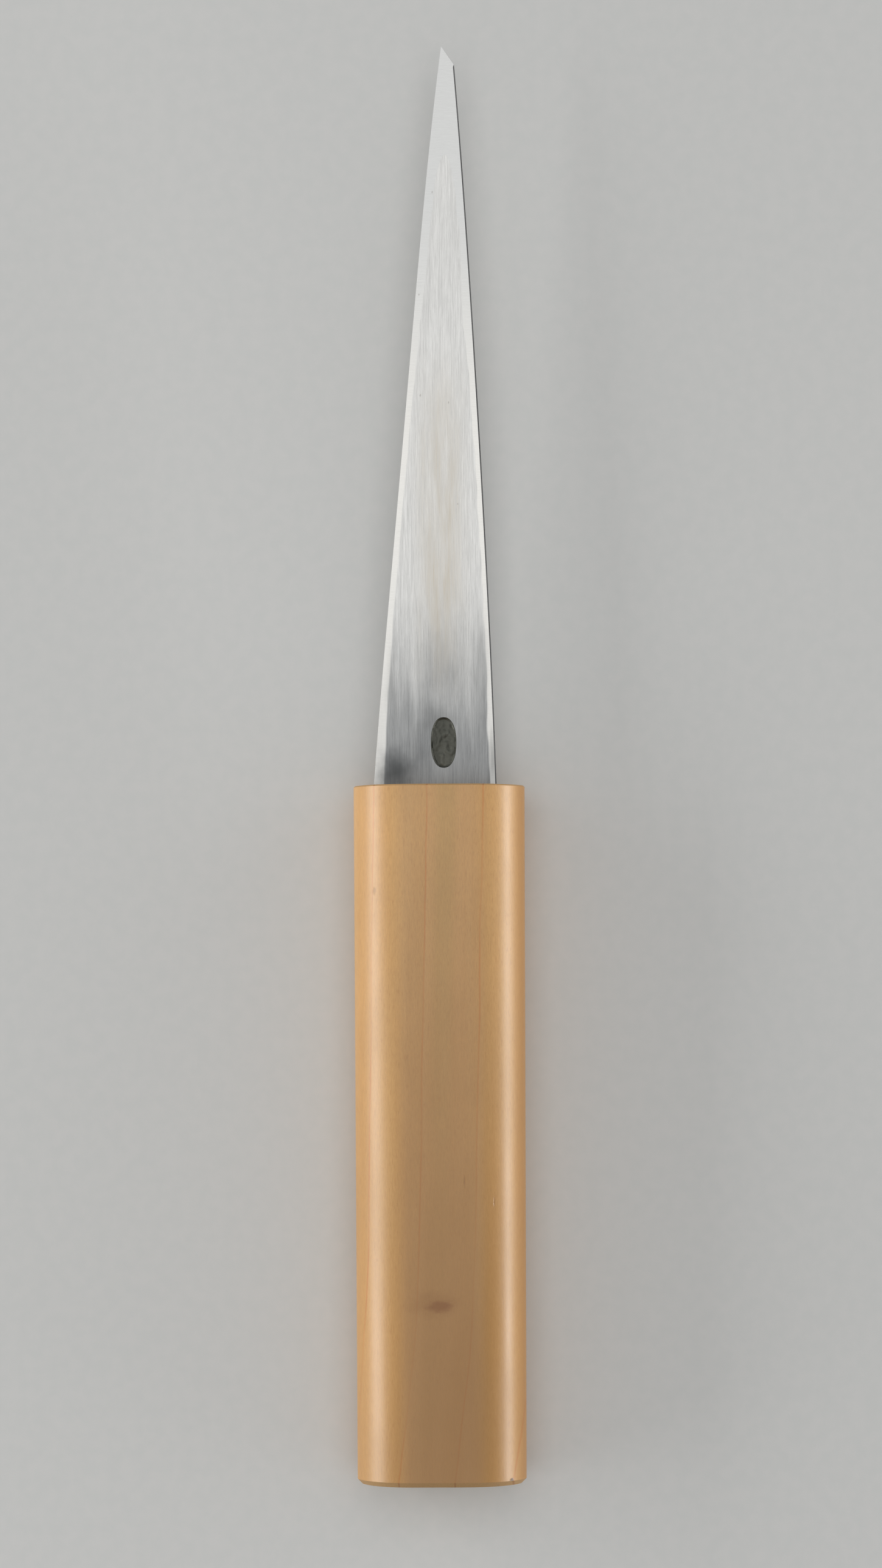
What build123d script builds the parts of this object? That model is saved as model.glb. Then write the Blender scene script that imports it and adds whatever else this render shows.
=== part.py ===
"""A hand-forged single-bevel knife in a plain oval wooden handle.

The knife lies flat, as on a bench: +Y runs from the butt to the point, +X from the cutting edge
to the spine, and +Z up, with the hollow-ground back of the blade facing up. The origin is the
middle of the underside: halfway along the knife, on the handle's centre line, on the bench.

The blade is two metals forge-welded face to face: a hard steel layer on the back, and a soft
iron body that carries the bevel and runs on as the tang. The handle is two carved halves, glued
together round the heel and the tang.
"""

from build123d import *
import os
from math import cos, radians, sqrt, tan

os.makedirs("parts", exist_ok=True)

# Blade, in millimetres. Sideways sizes are measured from the handle's centre line.
blade_length = 153.1  # from the mouth of the handle to the point
heel_depth = 6.0  # full blade width let into the mouth
heel_edge_side = 13.8  # cutting edge at the buried end of the heel
heel_spine_side = 12.0  # spine at the buried end of the heel
point_side = 1.1  # the point lies this far to the spine's side
clip_length = 3.8  # the slanted nose, along the blade
clip_width = 2.6  # the slanted nose, across the blade
edge_bow = 0.65  # how far the edge stands out from a straight line
spine_bow = 0.88  # how far the spine stands out from a straight line
heel_thickness = 3.6
point_thickness = 2.0  # the underside's slope aims at this below the point
bevel_angle = 15.0
edge_land = 0.08  # upright land left along the cutting edge
spine_ease_width = 0.3  # the spine's upper corner is eased
spine_ease_height = 0.5
steel_thickness = 1.0
steel_buried = 4.0  # the steel layer ends this far inside the handle

# Hollow grind and punched oval in the blade's back.
hollow_depth = 0.2
hollow_rim = 1.1  # flat rim each side of the hollow, at the handle
hollow_front_rim = 1.7  # the same rim where the hollow's pointed nose begins
hollow_from_point = 22.0
hollow_nose_length = 10.0
hollow_nose = ((0.45, 0.8), (0.8, 0.45), (1, 0.05))  # share of the nose's length, of its width
hollow_nose_shift = 0.2  # the nose's tip lies this far to the spine's side
punch_length = 10.0
punch_width = 5.2
punch_depth = 0.35
punch_from_mouth = 9.1
punch_side = 0.7

# Tang.
tang_width = 15.0  # behind the shoulders
tang_end_width = 8.0
tang_end_thickness = 2.8
shoulder_radius = 2.5
wood_behind_tang = 34.0

# Handle.
handle_length = 142.1
handle_width = 35.1  # at the mouth
handle_taper = 0.7  # the butt is this much narrower
handle_thickness = 20.0
cheek_rise = 2.1  # the broad cheek arcs' centres lie this far past the middle plane
planed_off = 0.02  # planed from the carved blank on each side, to leave true flats
side_radius = 5.0
butt_chamfer = 1.0
mouth_chamfer = 0.3
glue_thickness = 0.1
slot_gap = 0.05  # room between the carved slot and the blade, on every side

# Places that follow from the sizes above.
overall_length = handle_length + blade_length
butt_y = -overall_length / 2
mouth_y = butt_y + handle_length
point_y = mouth_y + blade_length
heel_y = mouth_y - heel_depth
steel_end_y = mouth_y - steel_buried
tang_end_y = butt_y + wood_behind_tang
middle_z = handle_thickness / 2
back_z = middle_z + heel_thickness / 2  # the heel's thickness is centred in the handle

point = (point_side, point_y)
clip_end = (point_side + clip_width, point_y - clip_length)
heel_edge = (-heel_edge_side, heel_y)
heel_spine = (heel_spine_side, heel_y)


def across(y, z):
    """A plane square to the knife's length: its own x is the knife's +X, and its y is +Z."""
    return Plane((0, y, z), x_dir=(1, 0, 0), z_dir=(0, -1, 0))


def bowed_side(start, end, bow, y):
    """Where a shallow arc from start to end, standing bow out from its chord, is at a given y."""
    along = (y - start[1]) / (end[1] - start[1])
    return start[0] + (end[0] - start[0]) * along + 4 * bow * along * (1 - along)


def edge_line():
    """The cutting edge on the blade's back, one long shallow bow from the heel to the point."""
    with BuildLine() as line:
        SagittaArc(heel_edge, point, edge_bow)
    return line.line


def blade_outline(gap):
    """Outline of blade and tang seen from above, grown by a gap."""
    with BuildSketch() as outline:
        with BuildLine():
            add(edge_line())
            Line(point, clip_end)
            SagittaArc(clip_end, heel_spine, spine_bow)
            Line(heel_spine, heel_edge)
        make_face()
        with BuildLine():
            Polyline(
                (-tang_width / 2, heel_y),
                (-tang_end_width / 2, tang_end_y),
                (tang_end_width / 2, tang_end_y),
                (tang_width / 2, heel_y),
                close=True,
            )
        make_face()
        shoulders = outline.vertices().filter_by_position(Axis.Y, heel_y - 0.01, heel_y + 0.01)
        fillet(shoulders.sort_by(Axis.X)[1:-1], shoulder_radius)
        if gap:
            offset(amount=gap, kind=Kind.INTERSECTION)
    return outline.sketch


def whole_blade(gap):
    """Blade and tang in one, grown by a gap on every side: with no gap it is the blade itself,
    and with the slot's gap it is the space carved for it."""
    top_z = back_z + gap
    under_z = back_z - heel_thickness - gap
    tang_drop = (heel_thickness - tang_end_thickness) / 2
    with BuildPart() as stock:
        add(blade_outline(gap))
        extrude(amount=handle_thickness)
        with BuildSketch(Plane.YZ):
            with BuildLine():
                Polyline(
                    (point_y + gap, top_z),
                    (heel_y, top_z),
                    (tang_end_y - gap, top_z - tang_drop),
                    (tang_end_y - gap, under_z + tang_drop),
                    (heel_y, under_z),
                    (mouth_y, under_z),
                    (point_y + gap, back_z - point_thickness - gap),
                    close=True,
                )
            make_face()
        extrude(amount=handle_width, both=True, mode=Mode.INTERSECT)
    with BuildPart() as shaped:
        add(stock.part)
        with Locations((0, 0, back_z)):
            add(bevel_waste(gap), mode=Mode.SUBTRACT)
        if not gap:
            spine = shaped.faces().sort_by(Axis.X)[-1]
            corner = spine.edges().group_by(Axis.Z)[-1]
            chamfer(corner, spine_ease_height, spine_ease_width, reference=spine)
    return shaped.part


def bevel_waste(gap):
    """What the bevel takes away: everything under a slope that follows the cutting edge."""
    rise = tan(radians(bevel_angle))
    reach = 2 * heel_thickness / rise
    land = edge_land + gap / cos(radians(bevel_angle))
    overrun = 3.0
    edge = edge_line()
    with BuildLine() as path:
        start = edge @ 0 - edge % 0 * overrun
        finish = edge @ 1 + edge % 1 * overrun
        Line(start, edge @ 0)
        add(edge)
        Line(edge @ 1, finish)
    run = path.line % 0
    with BuildPart() as waste:
        with BuildSketch(Plane(path.line @ 0, x_dir=(run.Y, -run.X, 0), z_dir=run)):
            with BuildLine():
                Polyline(
                    (-gap, land),
                    (reach, land + reach * rise),
                    (reach, handle_thickness),
                    (-overrun, handle_thickness),
                    (-overrun, land),
                    close=True,
                )
            make_face()
        sweep(path=path.line)
        split(bisect_by=across(heel_y + gap, 0), keep=Keep.BOTTOM)
    return waste.part


def hollow_cut(y, left, right, depth):
    """The hollow's cross-section at one place: an arc that meets the blade's back left and right."""
    centre = (left + right) / 2
    half_chord = (right - left) / sqrt(2)
    with BuildSketch(across(y, back_z)) as cut:
        with BuildLine():
            ThreePointArc((centre - half_chord, depth), (centre, -depth), (centre + half_chord, depth))
            Line((centre + half_chord, depth), (centre - half_chord, depth))
        make_face()
    return cut.sketch


def hollow_waste():
    """The shallow hollow ground down the blade's back, with a pointed nose towards the point."""
    nose_root_y = point_y - hollow_from_point - hollow_nose_length
    channel = []
    for share in (0, 1 / 3, 2 / 3, 1):
        y = heel_y + (nose_root_y - heel_y) * share
        rim = hollow_rim + (hollow_front_rim - hollow_rim) * share
        left = bowed_side(heel_edge, point, -edge_bow, y) + rim
        right = bowed_side(heel_spine, clip_end, spine_bow, y) - rim
        channel.append(hollow_cut(y, left, right, hollow_depth))
    tip_side = (left + right) / 2 + hollow_nose_shift
    nose = [channel[-1]]
    for share, width in hollow_nose:
        y = nose_root_y + hollow_nose_length * share
        nose_left = tip_side + (left - tip_side) * width
        nose_right = tip_side + (right - tip_side) * width
        nose.append(hollow_cut(y, nose_left, nose_right, hollow_depth * width))
    with BuildPart() as waste:
        loft(channel)
        loft(nose, ruled=True)
    return waste.part


def steel_zone():
    """The space above the weld, from the steel layer's buried end to beyond the point."""
    with BuildPart() as zone:
        with BuildSketch(Plane.XY.offset(back_z - steel_thickness)):
            with Locations((0, (steel_end_y + point_y + clip_length) / 2)):
                Rectangle(handle_width, point_y + clip_length - steel_end_y)
        extrude(amount=handle_thickness)
    return zone.part


def handle_section(y, width):
    """The handle's flattened oval: two flats, four cheek arcs and two tight side arcs."""
    half_width = width / 2
    blank_half = middle_z + planed_off
    cheek_radius = blank_half + cheek_rise
    side_centre = half_width - side_radius
    between_centres = cheek_radius - side_radius
    flat = side_centre - sqrt(between_centres**2 - cheek_rise**2)
    reach = cheek_radius / between_centres
    meeting = (flat + (side_centre - flat) * reach, cheek_rise * reach - cheek_rise)
    with BuildSketch(across(y, middle_z)) as section:
        with BuildLine():
            Line((0, blank_half), (flat, blank_half))
            cheek = TangentArc((flat, blank_half), meeting, tangent=(1, 0))
            TangentArc(meeting, (half_width, 0), tangent=cheek % 1)
            mirror(about=Plane.YZ)
            mirror(about=Plane.XZ)
        make_face()
    return section.sketch


def handle_blank():
    """The whole handle, before it is sawn in two and carved."""
    butt = handle_section(butt_y, handle_width - handle_taper)
    mouth = handle_section(mouth_y, handle_width)
    with BuildPart() as blank:
        loft([butt, mouth], ruled=True)
        ends = blank.faces().sort_by(Axis.Y)
        chamfer(ends[0].edges(), butt_chamfer)
        chamfer(ends[-1].edges(), mouth_chamfer)
        split(bisect_by=Plane.XY, keep=Keep.TOP)
        split(bisect_by=Plane.XY.offset(handle_thickness), keep=Keep.BOTTOM)
    return blank.part


blade_form = whole_blade(0)
slot_form = whole_blade(slot_gap)
handle_form = handle_blank()
glue_top = Plane.XY.offset(middle_z + glue_thickness / 2)
glue_bottom = Plane.XY.offset(middle_z - glue_thickness / 2)

# Hard steel layer: the whole back of the blade, hollow-ground, with a bare punched oval.
with BuildPart() as edge_steel:
    add(blade_form)
    add(steel_zone(), mode=Mode.INTERSECT)
    add(hollow_waste(), mode=Mode.SUBTRACT)
    with BuildSketch(Plane.XY.offset(back_z)):
        with Locations((punch_side, mouth_y + punch_from_mouth)):
            Ellipse(punch_width / 2, punch_length / 2)
    extrude(amount=-hollow_depth - punch_depth, mode=Mode.SUBTRACT)
edge_steel.part.label = "edge_steel"
export_step(edge_steel.part, "parts/edge_steel.step")

# Soft iron body: under the steel, stepped up behind it, with the tang.
with BuildPart() as iron_body:
    add(blade_form)
    add(steel_zone(), mode=Mode.SUBTRACT)
iron_body.part.label = "iron_body"
export_step(iron_body.part, "parts/iron_body.step")

# Front half of the handle, over the blade's back.
with BuildPart() as handle_front_half:
    add(handle_form)
    split(bisect_by=glue_top, keep=Keep.TOP)
    add(slot_form, mode=Mode.SUBTRACT)
handle_front_half.part.label = "handle_front_half"
export_step(handle_front_half.part, "parts/handle_front_half.step")

# Back half of the handle, under the blade.
with BuildPart() as handle_back_half:
    add(handle_form)
    split(bisect_by=glue_bottom, keep=Keep.BOTTOM)
    add(slot_form, mode=Mode.SUBTRACT)
handle_back_half.part.label = "handle_back_half"
export_step(handle_back_half.part, "parts/handle_back_half.step")

# Glue line: a thin film between the halves, round the carved slot.
with BuildPart() as glue_line:
    add(handle_form)
    split(bisect_by=glue_top, keep=Keep.BOTTOM)
    split(bisect_by=glue_bottom, keep=Keep.TOP)
    add(slot_form, mode=Mode.SUBTRACT)
glue_line.part.label = "glue_line"
export_step(glue_line.part, "parts/glue_line.step")
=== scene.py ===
# %% [markdown]
# # A single-bevel knife in a plain wooden handle
#
# The real knife is forged, not cut from sheet. A layer of hard steel is forge-welded onto a soft iron body, and
# the two are ground together: flat and hollow on the back, sloped on the other side. The handle is a block of
# white wood, sawn in two, carved out for the tang and glued shut again.
# The solid model of those pieces is loaded first and stays fixed. Each visible piece is then rebuilt over it with
# finer shape and finish, in metres, in the same place.

# %% Load the frame
import math
import bpy
import numpy as np
from mathutils import Matrix, Vector, noise


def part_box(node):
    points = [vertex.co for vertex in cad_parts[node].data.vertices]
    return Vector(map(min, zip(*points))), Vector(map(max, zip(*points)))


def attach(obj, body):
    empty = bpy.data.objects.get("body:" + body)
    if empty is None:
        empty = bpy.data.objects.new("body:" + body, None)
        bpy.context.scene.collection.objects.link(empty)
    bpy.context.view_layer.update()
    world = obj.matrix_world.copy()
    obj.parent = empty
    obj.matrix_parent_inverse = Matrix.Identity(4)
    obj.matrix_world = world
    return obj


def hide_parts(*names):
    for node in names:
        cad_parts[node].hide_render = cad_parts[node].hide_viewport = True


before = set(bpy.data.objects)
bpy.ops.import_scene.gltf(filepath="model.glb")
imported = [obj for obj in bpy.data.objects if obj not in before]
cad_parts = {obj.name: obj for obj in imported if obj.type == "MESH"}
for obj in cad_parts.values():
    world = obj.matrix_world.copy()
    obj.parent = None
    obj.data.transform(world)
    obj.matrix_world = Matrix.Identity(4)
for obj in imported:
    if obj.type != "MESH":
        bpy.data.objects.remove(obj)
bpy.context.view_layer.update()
print("nodes:", sorted(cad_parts))

# %% [markdown]
# ## Places read from the frame
#
# A knife maker thinks in millimetres, so the shapes below are worked out in millimetres and turned to metres only
# when a mesh is made. Every place comes from the boxes of the solid pieces, so nothing is fitted by eye.

# %% Read the places
MM = 0.001


def corners(piece):
    """Lowest and highest corner of a solid piece, in millimetres."""
    return [np.array(corner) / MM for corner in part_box(piece)]


steel_low, steel_high = corners("edge_steel")
iron_low, iron_high = corners("iron_body")
front_low, front_high = corners("handle_front_half")
back_high = corners("handle_back_half")[1]

mouth_y, butt_y = front_high[1], front_low[1]
steel_end_y, tang_end_y = steel_low[1], iron_low[1]
back_z, weld_z, underside_z = steel_high[2], steel_low[2], iron_low[2]
middle_z = (front_low[2] + back_high[2]) / 2
blade_length = steel_high[1] - mouth_y
print(f"blade {blade_length:.1f} mm, handle {mouth_y - butt_y:.1f} mm, back of the blade at z {back_z:.1f} mm")

# %% [markdown]
# ## The blade's outline
#
# Seen from above, the cutting edge is almost straight, with a little belly near the point, and the spine is a
# long shallow bow. A short slanted nose joins them. Each side is written as a short table of distances, along the
# blade and sideways from the handle's centre line, and a smooth polynomial gives the side at any distance.

# %% Write the outline down
edge_table = [(0.8, -13.27), (8.9, -12.73), (27.6, -11.04), (52.7, -8.78), (77.9, -6.49),
              (103.2, -4.22), (122.1, -2.41), (141.2, -0.39), (153.1, 1.10)]
spine_table = [(0.6, 11.79), (15.0, 11.32), (27.5, 10.81), (40.1, 10.25), (52.7, 9.71),
               (65.2, 9.07), (77.8, 8.41), (90.5, 7.67), (103.1, 6.92), (115.8, 6.15),
               (128.4, 5.36), (141.1, 4.45), (149.3, 3.74)]
clip_start = spine_table[-1][0]
point_side = edge_table[-1][1]
last_reach = 140

edge_curve = np.poly1d(np.polyfit(*zip(*edge_table), 4))
spine_curve = np.poly1d(np.polyfit(*zip(*spine_table), 4))


def edge_side(along):
    """Sideways place of the cutting edge, at a distance along the blade from the mouth."""
    ease = np.clip((along - last_reach) / (blade_length - last_reach), 0, 1)
    return edge_curve(along) + (point_side - edge_curve(blade_length)) * ease


def spine_side(along):
    """Sideways place of the spine, and past the clip's start, of the slanted nose."""
    nose = np.clip((along - clip_start) / (blade_length - clip_start), 0, 1)
    spine = spine_curve(np.minimum(along, clip_start))
    return spine + (point_side - spine) * nose


for mark in (0, 50, 100, 150):
    print(f"{mark} mm from the mouth: edge {edge_side(mark):.2f}, spine {spine_side(mark):.2f}")

# %% [markdown]
# ## The hollow in the blade's back
#
# The back is ground hollow on a big wheel, so that only a narrow flat rim touches the stone. The hollow ends in a
# rounded nose short of the point. Its two borders follow the outline at a changing distance, and they waver a
# little, because the rim is what is left after years of flattening on a stone.

# %% Write the hollow down
hollow_end = 130.5
hollow_depth, full_depth_half = 0.2, 3.2
border_table = np.array([
    (-10, -11.6, 10.9), (0, -11.5, 10.6), (11.2, -10.9, 10.15), (19, -10.5, 10.15),
    (36.4, -9.2, 9.45), (60, -7.1, 8.2), (80, -5.15, 6.95), (97.2, -3.35, 5.35),
    (104.4, -2.45, 5.1), (114.1, -1.5, 4.9), (119.6, -0.85, 4.2), (123.9, -0.5, 3.75)])
nose_start = border_table[-1, 0]


def hollow_borders(along):
    """Left and right border of the hollow."""
    tables = [np.interp(along, border_table[:, 0], border_table[:, side]) for side in (1, 2)]
    waver = 0.09 * math.sin(along * 0.31) + 0.07 * math.sin(along * 0.83 + 1)
    left, right = tables[0] + 0.4 * waver, tables[1] + waver
    closing = min(max((hollow_end - along) / (hollow_end - nose_start), 0), 1)
    centre, half = (left + right) / 2, (right - left) / 2 * math.sqrt(closing)
    return centre - half, centre + half


def hollow_drop(x, along):
    """How deep the hollow is at one place: a shallow arc from border to border."""
    left, right = hollow_borders(along)
    half = (right - left) / 2
    if half < 0.01:
        return 0.0
    across = (x - (left + right) / 2) / half
    return hollow_depth * min(1, half / full_depth_half) * max(0, 1 - across * across)


print(f"hollow 50 mm from the mouth: {hollow_borders(50)[1] - hollow_borders(50)[0]:.1f} mm wide")

# %% [markdown]
# ## Cross-sections
#
# Both metals share one underside: a bevel that slopes down from the cutting edge at 15 degrees, until it meets
# the flat underside of the blade. The weld between them lies a millimetre under the back. It wavers, as a hammered
# weld does, and where the bevel cuts through it, it shows as the line between bright steel and grey iron.

# %% Work out the underside and the weld
bevel_slope = math.tan(math.radians(15))
edge_land = 0.08
heel_thickness = back_z - underside_z
point_thickness = 2.0
weld_waver = 0.09


def underside(along):
    """Height of the flat underside: level in the handle, then thinning to the point."""
    share = min(max(along / blade_length, 0), 1)
    return back_z - heel_thickness + (heel_thickness - point_thickness) * share


def bevel(x, along):
    """Height of the bevel over one place."""
    return back_z - edge_land - (x - edge_side(along)) * bevel_slope


def weld(along):
    """Height of the weld, which wavers along the blade."""
    long_waves = noise.noise(Vector((along * 0.09, 3.1, 0)))
    short_waves = noise.noise(Vector((along * 0.35, 7.7, 0)))
    return weld_z + weld_waver * (long_waves + 0.5 * short_waves)


def bevel_side(along, level):
    """Sideways place where the bevel reaches a height."""
    return edge_side(along) + (back_z - edge_land - level) / bevel_slope


def weld_side(along):
    """Sideways place where the bevel cuts through the weld."""
    return bevel_side(along, weld(along))


print(f"steel shows {weld_side(50) - edge_side(50):.1f} mm wide on the bevel")

# %% [markdown]
# ## A skin over rings
#
# A blade is a row of cross-sections, so one helper skins a row of closed rings of points. Rings with the same
# number of points join into quads. A ring whose points all fall on one place closes the form, once doubled points
# are merged. Each ring runs over the top from edge to spine and back underneath, so the faces point outwards.

# %% Make the skinning helper
doubled = 0.000001


def new_object(name, data):
    """An object around a mesh, a light or a camera, put in the scene."""
    made = bpy.data.objects.new(name, data)
    bpy.context.scene.collection.objects.link(made)
    return made


def skin(name, rings, finishes=(), finish_of=None):
    """A closed form over rings of points in millimetres. finish_of(ring, column) picks a face's finish."""
    rows, columns = len(rings), len(rings[0])
    points = [tuple(c * MM for c in p) for ring in rings for p in ring]
    faces, indices = [], []
    for row in range(rows - 1):
        for column in range(columns):
            after = (column + 1) % columns
            here, ahead = row * columns, (row + 1) * columns
            faces.append((here + column, here + after, ahead + after, ahead + column))
            indices.append(finish_of(row, column) if finish_of else 0)
    faces.append(tuple(reversed(range(columns))))
    faces.append(tuple((rows - 1) * columns + column for column in range(columns)))
    indices += [0, 0]
    mesh = bpy.data.meshes.new(name)
    mesh.from_pydata(points, [], faces)
    for finish in finishes:
        mesh.materials.append(finish)
    mesh.polygons.foreach_set("material_index", indices)
    piece = new_object(name, mesh)
    piece.modifiers.new("merge", "WELD").merge_threshold = doubled
    return piece


def baked(piece, name, smooth_below=30):
    """The plain mesh that a piece's modifiers make, as an object of its own."""
    bpy.context.view_layer.update()
    evaluated = piece.evaluated_get(bpy.context.evaluated_depsgraph_get())
    mesh = bpy.data.meshes.new_from_object(evaluated)
    mesh.name = name
    if smooth_below:
        mesh.shade_smooth()
        mesh.set_sharp_from_angle(angle=math.radians(smooth_below))
    bpy.data.objects.remove(piece)
    print(f"{name}: {len(mesh.polygons)} faces")
    return new_object(name, mesh)

# %% [markdown]
# ## Node helpers
#
# Shader trees and geometry trees are both lists of nodes and links. A wire stands for what a node puts out, and sums
# with wires add Math nodes, so that a tree is written as the formula it stands for. One helper adds any node and
# fills its sockets, and a few more cover the nodes that come back most.

# %% Make wires
class Wire:
    """What a node puts out. A sum made with wires adds a Math node to their tree."""

    def __init__(self, socket):
        self.socket, self.tree = socket, socket.id_data

    def calc(self, operation, *others):
        """One sum that starts with this wire, such as MAXIMUM or SINE."""
        return calc(self.tree, operation, self, *others)

    def __add__(self, other):
        return self.calc("ADD", other)

    def __sub__(self, other):
        return self.calc("SUBTRACT", other)

    def __rsub__(self, other):
        return calc(self.tree, "SUBTRACT", other, self)

    def __mul__(self, other):
        return self.calc("MULTIPLY", other)

    def __truediv__(self, other):
        return self.calc("DIVIDE", other)

    def __lt__(self, other):
        return self.calc("LESS_THAN", other)

    def __gt__(self, other):
        return self.calc("GREATER_THAN", other)

    def __abs__(self):
        return self.calc("ABSOLUTE")


def feed(socket, value):
    """Fill a socket with a plain value, or with a link from another socket."""
    source = value.socket if isinstance(value, Wire) else value
    if isinstance(source, bpy.types.NodeSocket):
        socket.id_data.links.new(source, socket)
    else:
        socket.default_value = source


def add_node(tree, kind, inputs=None, **settings):
    """Add a node, set its properties, and feed its sockets."""
    made = tree.nodes.new(kind)
    for key, value in settings.items():
        setattr(made, key, value)
    for key, value in (inputs or {}).items():
        feed(made.inputs[key], value)
    return made


def calc(tree, operation, *values):
    """One sum of numbers."""
    return Wire(add_node(tree, "ShaderNodeMath", dict(enumerate(values)), operation=operation).outputs[0])


def clamped(value):
    """Keep the result of a sum between 0 and 1."""
    value.socket.node.use_clamp = True
    return value


# %% Make the other node helpers
def vector_calc(tree, operation, first, *second):
    """One sum of places or colours. SCALE takes a number, and LENGTH puts one out."""
    keys = (0, "Scale" if operation == "SCALE" else 1)
    made = add_node(tree, "ShaderNodeVectorMath", dict(zip(keys, (first, *second))), operation=operation)
    return Wire(made.outputs["Value" if operation == "LENGTH" else 0])


def split(place):
    """The three numbers of a place."""
    return [Wire(part) for part in add_node(place.tree, "ShaderNodeSeparateXYZ", {0: place}).outputs]


def noise_at(tree, place, **inputs):
    """Noise at a place. With a seed, W, it has one more dimension."""
    made = add_node(tree, "ShaderNodeTexNoise", {"Vector": place, "Scale": 1.0, **inputs},
                    noise_dimensions="4D" if "W" in inputs else "3D")
    return Wire(made.outputs["Fac"])


def colour(red, green, blue):
    """A screen colour, 0 to 255, as the linear colour that shaders use."""
    def linear(value):
        value /= 255
        return value / 12.92 if value <= 0.04045 else ((value + 0.055) / 1.055) ** 2.4
    return (linear(red), linear(green), linear(blue), 1)


def blend_colours(share, first, second):
    """Mix two colours by a share from 0 to 1."""
    made = add_node(share.tree, "ShaderNodeMix", {0: share, 6: first, 7: second}, data_type="RGBA")
    return Wire(made.outputs[2])


def blend_numbers(share, first, second):
    """Mix two numbers by a share from 0 to 1."""
    return Wire(add_node(share.tree, "ShaderNodeMix", {0: share, 2: first, 3: second}).outputs[0])


def soft_range(value, low, high, to_low=0.0, to_high=1.0):
    """Turn a range of values into another, with soft ends."""
    limits = {"Value": value, "From Min": low, "From Max": high, "To Min": to_low, "To Max": to_high}
    return Wire(add_node(value.tree, "ShaderNodeMapRange", limits, interpolation_type="SMOOTHSTEP").outputs[0])


# %% [markdown]
# Finishes and shared effects start the same way, so two more helpers begin them: a material with its shader and the
# place on the piece in millimetres, and a group with named inputs and outputs.

# %% Begin groups and finishes
def new_group(name, numbers, outputs):
    """A shader node group that reads a place in millimetres and named numbers, and puts out named values."""
    group = bpy.data.node_groups.new(name, "ShaderNodeTree")
    group.interface.new_socket("Place", in_out="INPUT", socket_type="NodeSocketVector")
    for label, value in numbers.items():
        kind = "NodeSocketVector" if isinstance(value, tuple) else "NodeSocketFloat"
        group.interface.new_socket(label, in_out="INPUT", socket_type=kind).default_value = value
    for label in outputs:
        group.interface.new_socket(label, in_out="OUTPUT", socket_type="NodeSocketFloat")
    given = {out.name: Wire(out) for out in group.nodes.new("NodeGroupInput").outputs}
    return group, given, group.nodes.new("NodeGroupOutput").inputs


def use_group(group, place, **values):
    """Place a node group in a material. An underscore in a name stands for a space."""
    made = add_node(place.tree, "ShaderNodeGroup", node_tree=group)
    feed(made.inputs["Place"], place)
    for key, value in values.items():
        feed(made.inputs[key.replace("_", " ")], value)
    return {out.name: Wire(out) for out in made.outputs}


def new_finish(name):
    """An empty material with its shader's sockets, and the place on the piece in millimetres."""
    material = bpy.data.materials.new(name)
    material.use_nodes = True
    tree = material.node_tree
    tree.nodes.clear()
    shader = tree.nodes.new("ShaderNodeBsdfPrincipled")
    add_node(tree, "ShaderNodeOutputMaterial", {"Surface": shader.outputs[0]})
    coordinates = tree.nodes.new("ShaderNodeTexCoord")
    place = vector_calc(tree, "SCALE", coordinates.outputs["Object"], 1 / MM)
    return material, tree, shader.inputs, place


def add_bump(tree, shader, strength, distance, height):
    """Raise a surface by a height. Distance in metres."""
    bump = add_node(tree, "ShaderNodeBump", {"Strength": strength, "Distance": distance, "Height": height})
    feed(shader["Normal"], bump.outputs[0])


# %% [markdown]
# ## Effects that several finishes share
#
# Three effects come back all over the knife, so each one is a node group with its own sizes:
#
# - **fine lines**: grinding streaks, stone scratches and wood fibres are noise, stretched far in one direction;
# - **soft patch**: a stain, a dent or a pit is an oval spot with a ragged edge;
# - **clouds**: uneven tone, as on handled wood or on steel that has aged.

# %% Build the fine lines
fine_lines, given, wanted = new_group(
    "fine lines", {"Lines per mm": (6.0, 0.03, 6.0), "Roughness": 0.6, "Contrast": 1.0}, ["Lines", "Height"])
stretched = vector_calc(fine_lines, "MULTIPLY", given["Place"], given["Lines per mm"])
grain = noise_at(fine_lines, stretched, Detail=3.0, Roughness=given["Roughness"])
feed(wanted["Lines"], clamped((grain - 0.5) * given["Contrast"] + 0.5))
feed(wanted["Height"], grain)


def lines_on(place, per_mm, roughness, contrast):
    """Fine lines on a finish: "Lines" for its colour, and "Height" for its bump."""
    return use_group(fine_lines, place, Lines_per_mm=per_mm, Roughness=roughness, Contrast=contrast)


print("fine lines:", len(fine_lines.nodes), "nodes")

# %% Build the soft patch
soft_patch, given, wanted = new_group(
    "soft patch", {"Centre": (0.0, 0.0, 0.0), "Half size": (1.0, 1.0, 1.0), "Ragged": 0.3, "Softness": 0.6},
    ["Patch"])
away = vector_calc(soft_patch, "SUBTRACT", given["Place"], given["Centre"])
shared = vector_calc(soft_patch, "DIVIDE", away, given["Half size"])
torn = (noise_at(soft_patch, shared, Scale=1.7, Detail=3.0) - 0.5) * given["Ragged"]
distance = vector_calc(soft_patch, "LENGTH", shared) + torn * 2.0
feed(wanted["Patch"], soft_range(distance, 1.0 - given["Softness"], 1.0, 1.0, 0.0))


def patch_on(place, centre, half_size, ragged, softness):
    """A soft patch on a finish: 1 at its centre, and 0 outside it. Its centre is given from the mouth."""
    side, along, level = centre
    return use_group(soft_patch, place, Centre=(side, mouth_y + along, level), Half_size=half_size,
                     Ragged=ragged, Softness=softness)["Patch"]


print("soft patch:", len(soft_patch.nodes), "nodes")

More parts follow.
